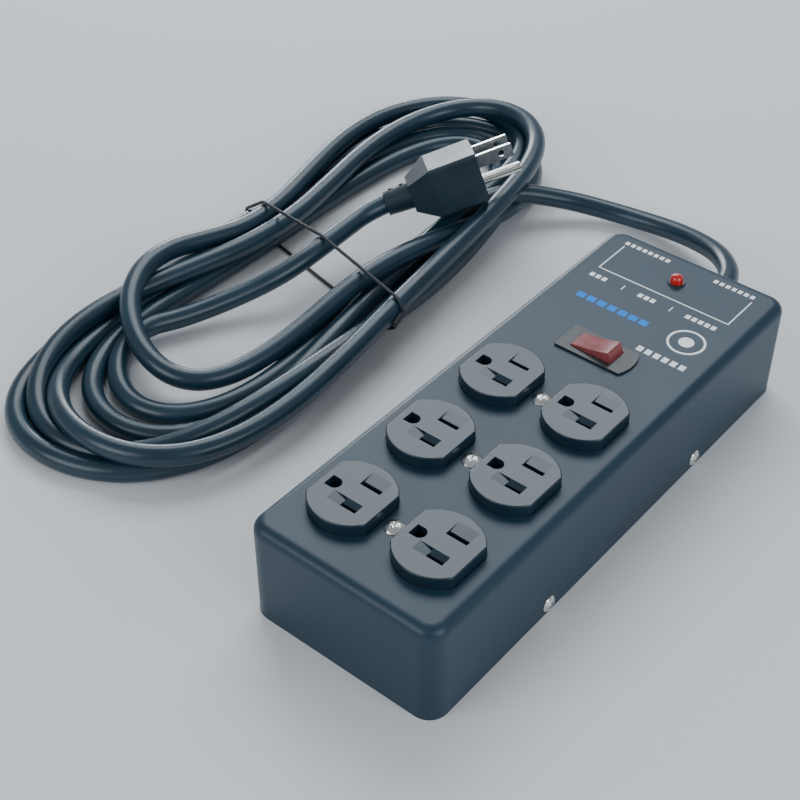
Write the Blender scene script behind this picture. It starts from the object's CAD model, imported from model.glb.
import math

import bmesh
import bpy
import numpy as np
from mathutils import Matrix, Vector


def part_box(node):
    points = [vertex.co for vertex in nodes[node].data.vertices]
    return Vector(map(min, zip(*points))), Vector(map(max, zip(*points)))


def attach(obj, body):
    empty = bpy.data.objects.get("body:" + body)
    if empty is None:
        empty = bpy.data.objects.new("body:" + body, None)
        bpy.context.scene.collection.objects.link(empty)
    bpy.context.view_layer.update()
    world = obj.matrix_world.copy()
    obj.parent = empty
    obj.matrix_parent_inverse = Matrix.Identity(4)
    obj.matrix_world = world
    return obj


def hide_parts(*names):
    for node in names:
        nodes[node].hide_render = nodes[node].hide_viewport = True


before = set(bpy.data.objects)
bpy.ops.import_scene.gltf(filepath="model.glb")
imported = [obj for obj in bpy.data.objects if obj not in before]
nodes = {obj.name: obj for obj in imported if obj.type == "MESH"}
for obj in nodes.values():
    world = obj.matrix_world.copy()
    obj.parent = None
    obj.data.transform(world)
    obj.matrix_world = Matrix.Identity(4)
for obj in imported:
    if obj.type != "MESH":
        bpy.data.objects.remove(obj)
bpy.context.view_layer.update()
mm = 0.001


# --- Camera, floor and light -------------------------------------------------------------------
# The box lies on a pale bench and is seen from above its near right corner with a medium long lens.
# One large soft panel hangs behind and above it, so that the paint and the cord show broad sheens. A
# low one behind the plug lights its top and the cords' edges, and two weak ones open the near shadows.
view_turn, view_rise, view_distance = math.radians(39.435), math.radians(40.774), 627.367 * mm
view_centre = Vector((-60.842, -10.45, 20.0)) * mm
view_back = Vector((math.sin(view_turn) * math.cos(view_rise), -math.cos(view_turn) * math.cos(view_rise),
                    math.sin(view_rise)))
camera_data = bpy.data.cameras.new("view")
camera_data.lens, camera_data.sensor_width = 68.9, 36.0
camera_data.clip_start, camera_data.clip_end = 0.01, 50.0
camera = bpy.data.objects.new("view", camera_data)
camera.location = view_centre + view_back * view_distance
camera.rotation_euler = view_back.to_track_quat("Z", "Y").to_euler()
bpy.context.scene.collection.objects.link(camera)
bpy.context.scene.camera = camera

floor_mesh = bpy.data.meshes.new("bench")
reach = 3.0
floor_mesh.from_pydata([(-reach, -reach, 0), (reach, -reach, 0), (reach, reach, 0), (-reach, reach, 0)], [],
                       [(0, 1, 2, 3)])
bench = bpy.data.objects.new("bench", floor_mesh)
bpy.context.scene.collection.objects.link(bench)
bench_paint = bpy.data.materials.new("bench_paint")
bench_paint.use_nodes = True
bench_paint.node_tree.nodes["Principled BSDF"].inputs["Base Color"].default_value = (0.80, 0.81, 0.82, 1)
bench_paint.node_tree.nodes["Principled BSDF"].inputs["Roughness"].default_value = 0.9
floor_mesh.materials.append(bench_paint)

sky = bpy.data.worlds.new("room")
sky.use_nodes = True
sky.node_tree.nodes["Background"].inputs["Color"].default_value = (0.90, 0.95, 1.0, 1)
sky.node_tree.nodes["Background"].inputs["Strength"].default_value = 0.35
bpy.context.scene.world = sky


def light_panel(name, place, aim, width, height, power, tint):
    """A soft area light that faces a point."""
    data = bpy.data.lights.new(name, "AREA")
    data.shape, data.size, data.size_y, data.energy, data.color = "RECTANGLE", width, height, power, tint
    lamp = bpy.data.objects.new(name, data)
    lamp.location = place
    lamp.rotation_euler = (Vector(place) - Vector(aim)).to_track_quat("Z", "Y").to_euler()
    bpy.context.scene.collection.objects.link(lamp)


light_panel("back_panel", (-0.60, 0.80, 1.15), (-0.06, 0.0, 0.02), 1.2, 0.8, 14, (0.88, 0.95, 1.0))
light_panel("low_panel", (-1.10, 0.88, 0.24), (-0.14, 0.08, 0.04), 0.5, 0.3, 6.0, (0.88, 0.95, 1.0))
light_panel("right_panel", (0.95, -0.15, 0.55), (0.0, 0.0, 0.02), 0.7, 0.6, 5.0, (0.86, 0.93, 1.0))
light_panel("front_panel", (-0.35, -1.05, 0.60), (-0.05, -0.05, 0.02), 0.8, 0.5, 5.0, (0.90, 0.95, 1.0))


# --- Supply cord -------------------------------------------------------------------------------
# A three-core cord of 9.5 mm with a satin black PVC jacket. It leaves the far end of the box, curves
# across to the hank, is wound into five long loose turns and comes back up through their middle to
# the plug. The turns lie on each other, so they are let down and pushed apart until they rest.
cord_width = 9.5
cord_thick = cord_width * mm
lead_route = [(5, 112, 21), (5, 142.5, 21), (-11.7, 168.1, 15.5), (-39.8, 181.2, 8.8), (-69, 181.6, 5.6),
              (-94, 172.5, 8.5), (-107, 162.5, 12.0), (-120, 151, 14.5), (-129, 134, 15), (-131, 112, 14.25),
              (-127, 82, 14.25)]
tail_route = [(-189.5, -34, 8.6), (-181.6, -17.5, 7.4), (-169.8, 9, 10.8), (-161.2, 27, 16.2),
              (-157.6, 45, 20.3), (-157.4, 63, 21.8), (-157.1, 82, 23.4), (-152.11, 90.04, 26.05)]
# Each turn in millimetres: the ends of its near and far bends, how far left its run stands at the near
# bend, the waist and the far bend, how far right it stands at the waist, the near bend and the far bend,
# and how many cords high it lies at the near bend, left waist, far bend and right waist.
turns = [
    ((-152, -86), (-165, 194), (-202, -196, -199), (-125, -110, -124), (0, 0, 0, 1)),
    ((-172, -113), (-167, 199), (-206, -214, -212), (-118, -109, -129), (0, 0, 0, 0)),
    ((-162, -106), (-168, 205), (-216, -189, -208), (-110, -107, -116), (0, 1, 1.2, 0)),
    ((-150, -106), (-170, 202), (-206, -205, -220), (-107, -97, -124), (0, 0, 0, 0)),
    ((-150, -56), (-184, 210), (-214, -200, -225), (-129, -130, -126), (0.6, 2, 0.4, 1.4)),
]
last_turn = ((-156, -74), None, (-199, -190, None), (-134, -117, None), (0, 0, 0, 0))
waist, near_bend, far_bend, squareness = 52.0, 56.0, 58.0, 2.15
run_points, bend_points = 3, 7


def half_turn(turn, following):
    """The points of one bend and of the half runs on both sides of it: the near bend, or the far one
    where the turn that follows is given."""
    middle, tip = turn[1] if following else turn[0]
    start = tip - (far_bend if following else -near_bend)
    high = turn[4][2] if following else turn[4][0]
    left = (turn[2][2] if following else turn[2][0], turn[2][1], turn[4][1])
    if following:
        right = (turn[3][2], following[3][0], following[4][3])
    else:
        right = (turn[3][1], turn[3][0], turn[4][3])
    first, last = (left, right) if following else (right, left)
    route = []
    for side, steps in ((first, range(run_points)), (None, range(bend_points)),
                        (last, range(run_points)[::-1])):
        for k in steps:
            if side:
                share = (k + 0.5) / run_points
                ease = share * share * (3 - 2 * share)
                x = side[1] + (side[0] - side[1]) * ease
                y = waist + (start - waist) * share
                level = side[2] + (high - side[2]) * ease
            else:
                angle = math.pi * (k + 0.5) / bend_points
                edge = first[0] if math.cos(angle) > 0 else last[0]
                x = middle + (edge - middle) * abs(math.cos(angle)) ** (2 / squareness)
                y = start + (tip - start) * math.sin(angle) ** (2 / squareness)
                level = high
            route.append((x, y, cord_width / 2 + cord_width * level))
    return route


cord_route = list(lead_route)
for turn, following in zip(turns, turns[1:] + [last_turn]):
    cord_route += half_turn(turn, None) + half_turn(turn, following)
cord_route += half_turn(last_turn, None)[:run_points + bend_points - 1]
wound = slice(len(lead_route), len(cord_route))
cord_route = np.array(cord_route + tail_route, float) * mm
wanted = cord_route.copy()
for _ in range(3):  # a smooth line cuts the corners of its control points, so they are set further out
    bow = np.zeros_like(cord_route)
    bow[1:-1] = (cord_route[:-2] - 2 * cord_route[1:-1] + cord_route[2:]) / 8
    cord_route[wound] = (wanted - bow)[wound]


def line_weights(count, per_span):
    """The weights that turn control points into points along the open quadratic line, a row a point."""
    spans = count - 2
    knots = [0.0, 0.0] + [float(k) for k in range(spans + 1)] + [float(spans)] * 2
    rows = np.zeros((spans * per_span + 1, count))
    for row, at in enumerate(np.linspace(0, spans - 1e-9, spans * per_span + 1)):
        k = int(at) + 2
        shares = [1.0]
        for degree in (1, 2):
            raised = [0.0] * (degree + 1)
            for part, share in enumerate(shares):
                low, high = knots[k + part + 1 - degree], knots[k + part + 1]
                along = (at - low) / (high - low) if high > low else 0.0
                raised[part] += share * (1 - along)
                raised[part + 1] += share * along
            shares = raised
        rows[row, k - 2:k + 1] = shares
    return rows


weights = line_weights(len(cord_route), 5)
spread = weights.T / weights.sum(0)[:, None]
loose = np.ones(len(cord_route))
loose[:7] = loose[-len(tail_route):] = 0
home = cord_route.copy()
# The turns keep near their places, most of all where the tie grips them. Each round pushes touching
# runs apart, lets the cord sink, and evens out its bends.
settle_rounds, push_share, sink, straighten, level_out = 260, 2.2, 0.12 * mm, 0.2, 0.12
free_hold, tied_hold, tied_reach = 0.03, 0.15, 45
same_way, level_play = 0.93, 0.3 * mm
hold = free_hold + tied_hold * np.exp(-((home[:, 1:2] / mm - waist) / tied_reach) ** 2)
for _ in range(settle_rounds):
    line = weights @ cord_route
    along = np.concatenate([[0], np.cumsum(np.linalg.norm(np.diff(line, axis=0), axis=1))])
    squares = (line ** 2).sum(1)
    gaps = squares[:, None] + squares[None] - 2 * line @ line.T
    another_run = np.abs(along[:, None] - along[None]) > 4 * cord_thick
    one, two = np.nonzero(np.triu(gaps < cord_thick ** 2, 1) & another_run)
    apart = line[one] - line[two]
    gap = np.linalg.norm(apart, axis=1) + 1e-9
    shift = apart * ((cord_thick - gap) / gap * 0.5)[:, None]
    heading = np.gradient(line, axis=0)
    heading /= np.linalg.norm(heading, axis=1)[:, None]
    crossing = np.abs((heading[one] * heading[two]).sum(1)) < same_way
    clear = np.sqrt(np.maximum(cord_thick ** 2 - apart[:, 0] ** 2 - apart[:, 1] ** 2, 0))
    lift = clear - np.abs(apart[:, 2])
    upward = np.where(np.abs(apart[:, 2]) > level_play, np.sign(apart[:, 2]), -1.0)
    shift[crossing] = 0
    shift[crossing, 2] = (upward * np.maximum(lift, 0) * 0.5)[crossing]
    push, touches = np.zeros_like(line), np.zeros(len(line))
    for index, sign in ((one, 1), (two, -1)):
        np.add.at(push, index, sign * shift)
        np.add.at(touches, index, 1)
    push /= np.maximum(touches, 1)[:, None]
    cord_route += loose[:, None] * (spread @ push) * push_share
    cord_route[:, 2] -= loose * sink
    cord_route[:, :2] += loose[:, None] * (home[:, :2] - cord_route[:, :2]) * hold
    bow = np.zeros_like(cord_route)
    bow[1:-1] = (cord_route[:-2] + cord_route[2:]) / 2 - cord_route[1:-1]
    stiff = np.zeros_like(cord_route)
    stiff[2:-2] = bow[2:-2] - (bow[1:-3] + bow[3:-1]) / 2
    cord_route += loose[:, None] * straighten * stiff
    cord_route[:, 2] += loose * level_out * bow[:, 2]
    cord_route[:, 2] += loose * np.maximum(0, cord_thick / 2 - cord_route[:, 2])
cord_line = line_weights(len(cord_route), 12) @ cord_route

cord_curve = bpy.data.curves.new("supply_cord", "CURVE")
cord_curve.dimensions = "3D"
cord_spline = cord_curve.splines.new("NURBS")
cord_spline.points.add(len(cord_route) - 1)
for point, place in zip(cord_spline.points, cord_route):
    point.co = (*place, 1.0)
cord_spline.order_u = 3
cord_spline.use_endpoint_u = True
cord_spline.resolution_u = 6
cord_curve.bevel_depth = cord_thick / 2
cord_curve.bevel_resolution = 6
cord_curve.use_fill_caps = True
supply_cord = bpy.data.objects.new("supply_cord", cord_curve)
bpy.context.scene.collection.objects.link(supply_cord)


def finish(name, colour, rough, metal=0.0, patch=60.0, grain=900.0, bump=0.05, shade=0.12, rough_play=0.08,
           stretch=(1, 1, 1), **sockets):
    """A worked surface: cloudy change of shade at one scale, fine grain in relief at another, and a
    roughness that varies with both. The other sockets hold one value all over."""
    material = bpy.data.materials.new(name)
    material.use_nodes = True
    tree = material.node_tree
    shader = tree.nodes["Principled BSDF"]
    place = tree.nodes.new("ShaderNodeTexCoord")
    fit = tree.nodes.new("ShaderNodeMapping")
    fit.inputs["Scale"].default_value = stretch
    tree.links.new(place.outputs["Object"], fit.inputs["Vector"])
    cloud, fine = tree.nodes.new("ShaderNodeTexNoise"), tree.nodes.new("ShaderNodeTexNoise")
    cloud.inputs["Scale"].default_value, cloud.inputs["Detail"].default_value = patch, 4.0
    fine.inputs["Scale"].default_value, fine.inputs["Detail"].default_value = grain, 3.0
    for noise in (cloud, fine):
        tree.links.new(fit.outputs["Vector"], noise.inputs["Vector"])
    ramp = tree.nodes.new("ShaderNodeValToRGB")
    dark, light = ramp.color_ramp.elements
    for stop, amount, where in ((dark, 1 - shade, 0.3), (light, 1 + shade, 0.7)):
        stop.position = where
        stop.color = (*[min(1.0, c * amount) for c in colour], 1)
    tree.links.new(cloud.outputs["Fac"], ramp.inputs["Fac"])
    tree.links.new(ramp.outputs["Color"], shader.inputs["Base Color"])
    play = tree.nodes.new("ShaderNodeMapRange")
    play.inputs["To Min"].default_value = max(0.02, rough - rough_play)
    play.inputs["To Max"].default_value = min(1.0, rough + rough_play)
    tree.links.new(cloud.outputs["Fac"], play.inputs["Value"])
    tree.links.new(play.outputs["Result"], shader.inputs["Roughness"])
    relief = tree.nodes.new("ShaderNodeBump")
    relief.inputs["Strength"].default_value, relief.inputs["Distance"].default_value = bump, 0.0002
    tree.links.new(fine.outputs["Fac"], relief.inputs["Height"])
    tree.links.new(relief.outputs["Normal"], shader.inputs["Normal"])
    shader.inputs["Metallic"].default_value = metal
    for socket, value in sockets.items():
        shader.inputs[socket.replace("_", " ")].default_value = value
    return material


def dress(node, material):
    """Give a carried-over piece one finish all over."""
    mesh = nodes[node].data
    mesh.materials.clear()
    mesh.materials.append(material)
    for face in mesh.polygons:
        face.material_index = 0


cord_jacket = finish("cord_jacket", (0.009, 0.033, 0.056), 0.33, patch=45, grain=700, bump=0.10, shade=0.2,
                     Specular_IOR_Level=0.5, Coat_Weight=0.12, Coat_Roughness=0.3)
cord_curve.materials.append(cord_jacket)
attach(supply_cord, "housing")
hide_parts("cord_lead", "cord_hank", "cord_tail")


# --- Wire tie ----------------------------------------------------------------------------------
# A thin paper-covered wire that binds the turns at their waist. It is pulled straight over the cords
# it touches, passes under them along the bench, and its two ends are twisted together at the right.
tie_thick, tie_angle, tie_centre = 1.6 * mm, math.radians(-12.5), Vector((-165, 52, 0)) * mm
tie_gap, tie_half_reach, arc_steps, ring_step = 0.3 * mm, 0.075, 24, 0.004
twist_steps, twist_angle, twist_pitch, twist_radius = 26, 0.62, 0.24 * mm, 0.75 * mm
tie_way = Vector((math.cos(tie_angle), math.sin(tie_angle), 0))
tie_side = Vector((-tie_way.y, tie_way.x, 0))
bound = []
for here, there in zip(cord_line[:-1], cord_line[1:]):
    sides = [(Vector(p) - tie_centre).dot(tie_side) for p in (here, there)]
    if sides[0] * sides[1] <= 0 and sides[0] != sides[1]:
        cut = Vector(here).lerp(Vector(there), sides[0] / (sides[0] - sides[1]))
        bound.append(((cut - tie_centre).dot(tie_way), cut.z))
bound = [b for b in bound if abs(b[0]) < tie_half_reach]
tie_radius = (cord_thick + tie_thick) / 2 + tie_gap
around = [(x + tie_radius * math.cos(a), max(z + tie_radius * math.sin(a), tie_thick / 2))
          for x, z in bound for a in [math.tau * k / arc_steps for k in range(arc_steps)]]


def outline(points):
    """The taut loop around a set of points, counter-clockwise."""
    points, halves = sorted(set(points)), []
    for ordered in (points, points[::-1]):
        chain = []
        for p in ordered:
            while len(chain) > 1 and ((chain[-1][0] - chain[-2][0]) * (p[1] - chain[-2][1])
                                      - (chain[-1][1] - chain[-2][1]) * (p[0] - chain[-2][0])) <= 0:
                chain.pop()
            chain.append(p)
        halves += chain[:-1]
    return halves


loop = outline(around)
rightmost = max(range(len(loop)), key=lambda k: loop[k][0])
loop = loop[rightmost:] + loop[:rightmost]
steps = []
for here, there in zip(loop, loop[1:] + loop[:1]):
    count = max(1, round(math.dist(here, there) / ring_step))
    steps += [(here[0] + (there[0] - here[0]) * k / count, here[1] + (there[1] - here[1]) * k / count)
              for k in range(count)]
tie_curve = bpy.data.curves.new("wire_tie", "CURVE")
tie_curve.dimensions = "3D"
tie_curve.bevel_depth, tie_curve.bevel_resolution, tie_curve.use_fill_caps = tie_thick / 2, 3, True
ends = []
for turn in (0, 1):
    twist = []
    for k in range(twist_steps):
        a, out = math.pi * turn + k * twist_angle, 1.5 * mm + twist_pitch * k
        height = max(1.1 * mm, steps[0][1] - 0.25 * out) + twist_radius * math.sin(a)
        sideways = tie_way * (steps[0][0] + 0.35 * out + twist_radius * math.cos(a))
        twist.append(tie_centre + sideways - tie_side * out * 0.9 + Vector((0, 0, height)))
    ends.append(twist)
ring = [tie_centre + tie_way * x + Vector((0, 0, z)) for x, z in steps]
tie_route = ends[0][::-1] + ring + ends[1]
tie_spline = tie_curve.splines.new("NURBS")
tie_spline.points.add(len(tie_route) - 1)
for point, place in zip(tie_spline.points, tie_route):
    point.co = (*place, 1.0)
tie_spline.order_u, tie_spline.use_endpoint_u, tie_spline.resolution_u = 3, True, 3
wire_tie = bpy.data.objects.new("wire_tie", tie_curve)
bpy.context.scene.collection.objects.link(wire_tie)
tie_curve.materials.append(finish("tie_cover", (0.020, 0.026, 0.032), 0.55, patch=400, grain=2500, bump=0.3))
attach(wire_tie, "housing")
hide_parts("cord_tie")


# --- Plug --------------------------------------------------------------------------------------
# A moulded three-pin plug: a black PVC body cast round the cord's end, two flat blades of nickel
# plated brass with a hole near each tip, and a round earth pin that stands out further.
plug_moulding = finish("plug_moulding", (0.010, 0.026, 0.040), 0.42, patch=90, grain=1800, bump=0.12, shade=0.15,
                       Coat_Weight=0.1, Coat_Roughness=0.35)
plug_metal = finish("plug_metal", (0.78, 0.77, 0.73), 0.22, metal=1.0, patch=220, grain=2600, bump=0.05,
                    shade=0.06, rough_play=0.07, stretch=(1, 0.15, 1))
dress("plug_body", plug_moulding)
for node in ("plug_hot_blade", "plug_neutral_blade", "plug_ground_pin"):
    dress(node, plug_metal)


# --- Strain relief -----------------------------------------------------------------------------
# A tapered nylon bush that snaps into the end wall and grips the cord where it leaves the box.
dress("strain_relief", finish("relief_nylon", (0.016, 0.022, 0.028), 0.5, patch=120, grain=2000, bump=0.15))


# --- Cover and base ----------------------------------------------------------------------------
# The cover is a deep box drawn from 1.2 mm steel, sprayed satin black with a faint orange-peel skin.
# The base is a zinc plated tray inside it, held by four screws through the long sides.
box_paint = finish("box_paint", (0.010, 0.033, 0.058), 0.42, patch=14, grain=520, bump=0.10, shade=0.10,
                   rough_play=0.04, Specular_IOR_Level=0.40, Coat_Weight=0.08, Coat_Roughness=0.30)
dress("cover", box_paint)
zinc = finish("zinc_steel", (0.55, 0.56, 0.57), 0.42, metal=1.0, patch=55, grain=420, bump=0.10, shade=0.12)
dress("base_plate", zinc)
screw_plate = finish("screw_plate", (0.82, 0.82, 0.80), 0.2, metal=1.0, patch=500, grain=3000, bump=0.06, shade=0.08)
for node in ("cover_screws", "receptacle_1_screw", "receptacle_2_screw", "receptacle_3_screw", "earth_screw"):
    dress(node, screw_plate)


# --- Printed marks -----------------------------------------------------------------------------
# White and blue pad printing on the cover, 0.05 mm thick: a bracket that joins the lamp to a row of
# fields, and plain bars where the maker's words would stand.
panel_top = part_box("cover")[1][2]
print_thick = 0.05 * mm


def print_tree(name, material):
    """Geometry nodes that set equal bars side by side on a straight line of printing."""
    tree = bpy.data.node_groups.new(name, "GeometryNodeTree")
    sockets = {}
    for label, kind in (("Geometry", "NodeSocketGeometry"), ("Start", "NodeSocketVector"),
                        ("Step", "NodeSocketVector"), ("Count", "NodeSocketInt"),
                        ("Bar size", "NodeSocketVector")):
        sockets[label] = tree.interface.new_socket(name=label, in_out="INPUT", socket_type=kind).identifier
    tree.interface.new_socket(name="Geometry", in_out="OUTPUT", socket_type="NodeSocketGeometry")
    group_in, group_out = tree.nodes.new("NodeGroupInput"), tree.nodes.new("NodeGroupOutput")
    row = tree.nodes.new("GeometryNodeMeshLine")
    row.mode = "OFFSET"
    bar = tree.nodes.new("GeometryNodeMeshCube")
    copies = tree.nodes.new("GeometryNodeInstanceOnPoints")
    real = tree.nodes.new("GeometryNodeRealizeInstances")
    paint = tree.nodes.new("GeometryNodeSetMaterial")
    paint.inputs["Material"].default_value = material
    for source, target in ((group_in.outputs["Start"], row.inputs["Start Location"]),
                           (group_in.outputs["Step"], row.inputs["Offset"]),
                           (group_in.outputs["Count"], row.inputs["Count"]),
                           (group_in.outputs["Bar size"], bar.inputs["Size"]),
                           (row.outputs["Mesh"], copies.inputs["Points"]),
                           (bar.outputs["Mesh"], copies.inputs["Instance"]),
                           (copies.outputs["Instances"], real.inputs["Geometry"]),
                           (real.outputs["Geometry"], paint.inputs["Geometry"]),
                           (paint.outputs["Geometry"], group_out.inputs[0])):
        tree.links.new(source, target)
    return tree, sockets


def printed_row(tree, sockets, start, step, count, size):
    """One row of printed bars as a plain mesh."""
    carrier = bpy.data.objects.new("carrier", bpy.data.meshes.new("carrier"))
    bpy.context.scene.collection.objects.link(carrier)
    grid = carrier.modifiers.new("bars", "NODES")
    grid.node_group = tree
    grid[sockets["Start"]] = start
    grid[sockets["Step"]] = step
    grid[sockets["Count"]] = count
    grid[sockets["Bar size"]] = size
    graph = bpy.context.evaluated_depsgraph_get()
    mesh = bpy.data.meshes.new_from_object(carrier.evaluated_get(graph))
    bpy.data.objects.remove(carrier)
    return mesh


def joined(name, meshes, material):
    """Several meshes as one piece."""
    whole = bmesh.new()
    for mesh in meshes:
        whole.from_mesh(mesh)
        bpy.data.meshes.remove(mesh)
    result = bpy.data.meshes.new(name)
    whole.to_mesh(result)
    whole.free()
    result.materials.clear()
    result.materials.append(material)
    for face in result.polygons:
        face.material_index = 0
    piece = bpy.data.objects.new(name, result)
    bpy.context.scene.collection.objects.link(piece)
    return piece


def flat_ring(centre, outer, inner, sides=48):
    """A flat printed ring, or a dot where the inner radius is 0."""
    shape = bmesh.new()
    for radius in ((outer, inner) if inner else (outer,)):
        for z in (0, print_thick):
            for k in range(sides):
                a = math.tau * k / sides
                shape.verts.new((centre[0] + radius * math.cos(a), centre[1] + radius * math.sin(a),
                                 panel_top + z))
    shape.verts.ensure_lookup_table()
    v, n = shape.verts, sides
    for k in range(n):
        m = (k + 1) % n
        shape.faces.new((v[k], v[m], v[n + m], v[n + k]))
        if inner:
            shape.faces.new((v[2 * n + m], v[2 * n + k], v[3 * n + k], v[3 * n + m]))
            shape.faces.new((v[n + k], v[n + m], v[3 * n + m], v[3 * n + k]))
            shape.faces.new((v[m], v[k], v[2 * n + k], v[2 * n + m]))
    if not inner:
        shape.faces.new([v[n + k] for k in range(n)])
        shape.faces.new([v[k] for k in reversed(range(n))])
    mesh = bpy.data.meshes.new("ring")
    shape.to_mesh(mesh)
    shape.free()
    return mesh


white_ink = finish("white_ink", (0.92, 0.94, 0.95), 0.6, patch=300, grain=1800, bump=0.1, shade=0.06,
                   Emission_Color=(0.9, 0.95, 1.0, 1), Emission_Strength=0.12)
blue_ink = finish("blue_ink", (0.004, 0.25, 0.85), 0.6, patch=300, grain=1800, bump=0.1, shade=0.08,
                  Specular_IOR_Level=0.2)
white_tree, white_sockets = print_tree("white_bars", white_ink)
blue_tree, blue_sockets = print_tree("blue_bars", blue_ink)
print_z = panel_top + print_thick / 2
line = 0.55
# Rows of bars in millimetres: first x, y, step x, how many, length, height
white_rows = [(-31.6, 110.4, 2.9, 8, 1.9, 2.3), (12.5, 110.4, 2.9, 7, 1.9, 2.3), (-31.0, 82.0, 3.0, 3, 2.1, 2.6),
              (-7.0, 82.0, 3.0, 3, 2.1, 2.6), (16.0, 82.0, 3.0, 5, 2.1, 2.6), (12.0, 52.0, 3.9, 6, 2.6, 3.2)]
frame_bars = [(0, 88.0, 63.3, line), (-31.65, 97.9, line, 19.8), (31.3, 97.6, line, 19.2),
              (-15.6, 82.0, 0.5, 3.4), (7.8, 82.0, 0.5, 3.4)]
meshes = [printed_row(white_tree, white_sockets, (x * mm, y * mm, print_z), (step * mm, 0, 0), count,
                      (long * mm, high * mm, print_thick)) for x, y, step, count, long, high in white_rows]
meshes += [printed_row(white_tree, white_sockets, (x * mm, y * mm, print_z), (1, 0, 0), 1,
                       (wide * mm, high * mm, print_thick)) for x, y, wide, high in frame_bars]
meshes += [flat_ring((24.3 * mm, 67.1 * mm), 8.0 * mm, 7.0 * mm),
           flat_ring((24.3 * mm, 67.1 * mm), 3.2 * mm, 0)]
white_print = joined("white_print", meshes, white_ink)
blue_print = joined("blue_print", [printed_row(blue_tree, blue_sockets, (-26.5 * mm, 67.0 * mm, print_z),
                                               (5.1 * mm, 0, 0), 7, (3.9 * mm, 3.6 * mm, print_thick))], blue_ink)
for piece in (white_print, blue_print):
    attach(piece, "housing")


# --- Outlets -----------------------------------------------------------------------------------
# Three duplex outlets stand side by side down the box. Their faces are glossy black moulded plastic
# held by a plated screw; the bodies behind, straps and brass contacts are closed in by the cover.
face_plastic = finish("face_plastic", (0.010, 0.026, 0.042), 0.27, patch=70, grain=1500, bump=0.03, shade=0.12,
                      rough_play=0.05, Specular_IOR_Level=0.45, Coat_Weight=0.15, Coat_Roughness=0.2)
inner_plastic = finish("inner_plastic", (0.03, 0.03, 0.032), 0.5, patch=80, grain=1500, bump=0.12)
contact_brass = finish("contact_brass", (0.76, 0.55, 0.22), 0.3, metal=1.0, patch=200, grain=2600, bump=0.08)
for row in (1, 2, 3):
    dress("receptacle_%d_face" % row, face_plastic)
    dress("receptacle_%d_body" % row, inner_plastic)
    dress("receptacle_%d_strap" % row, zinc)
    for contact in ("ground", "hot", "neutral"):
        dress("receptacle_%d_%s_contact" % (row, contact), contact_brass)


# --- Switch ------------------------------------------------------------------------------------
# A snap-in rocker breaker. Its case and bezel are black nylon, and the rocker is a clear red
# moulding that a lamp inside lights up.
switch_plastic = finish("switch_plastic", (0.018, 0.024, 0.028), 0.33, patch=150, grain=2200, bump=0.1)
dress("switch_body", switch_plastic)
red_rocker = finish("red_plastic", (0.32, 0.075, 0.080), 0.24, patch=260, grain=1800, bump=0.05, shade=0.25,
                    Coat_Weight=0.5, Coat_Roughness=0.1, Transmission_Weight=0.25,
                    Emission_Color=(0.8, 0.10, 0.06, 1), Emission_Strength=0.03)
dress("switch_rocker", red_rocker)
dress("switch_contact_arm", contact_brass)
dress("switch_terminals", contact_brass)


# --- Pilot lamp --------------------------------------------------------------------------------
# A red lens pressed into a black collar shows that the surge parts still work.
dress("indicator_lens", finish("red_lens", (0.55, 0.008, 0.010), 0.08, patch=600, grain=3000, bump=0.02, shade=0.2,
                               Coat_Weight=0.8, Coat_Roughness=0.04, Transmission_Weight=0.3,
                               Emission_Color=(1.0, 0.03, 0.02, 1), Emission_Strength=0.12))
dress("indicator_collar", switch_plastic)


# --- Surge and filter board --------------------------------------------------------------------
# Inside, a board on nylon spacers carries the surge discs, the filter's film capacitor and choke,
# and the thermal fuse. The wires run from the cord to the switch, past the outlets and to the base.
inner_finishes = {
    "circuit_board": finish("board_laminate", (0.05, 0.22, 0.10), 0.4, patch=120, grain=1200, bump=0.1),
    "board_spacers": finish("white_nylon", (0.75, 0.75, 0.70), 0.5, patch=120, grain=1500, bump=0.1),
    "surge_discs": finish("disc_coating", (0.05, 0.12, 0.38), 0.35, patch=180, grain=900, bump=0.2),
    "filter_capacitor": finish("film_case", (0.60, 0.42, 0.06), 0.35, patch=120, grain=1400, bump=0.08),
    "filter_choke": finish("choke_ferrite", (0.06, 0.055, 0.05), 0.6, patch=200, grain=700, bump=0.3),
    "thermal_fuse": finish("fuse_metal", (0.6, 0.6, 0.6), 0.3, metal=1.0, patch=200, grain=2000, bump=0.08),
    "earth_terminal": contact_brass,
    "wire_line": finish("wire_black", (0.02, 0.02, 0.02), 0.4, patch=120, grain=1200, bump=0.06),
    "wire_neutral": finish("wire_white", (0.75, 0.74, 0.70), 0.4, patch=120, grain=1200, bump=0.06),
    "wire_earth": finish("wire_green", (0.03, 0.30, 0.08), 0.4, patch=120, grain=1200, bump=0.06),
}
inner_finishes["wire_switched"] = inner_finishes["wire_line"]
for node, material in inner_finishes.items():
    dress(node, material)
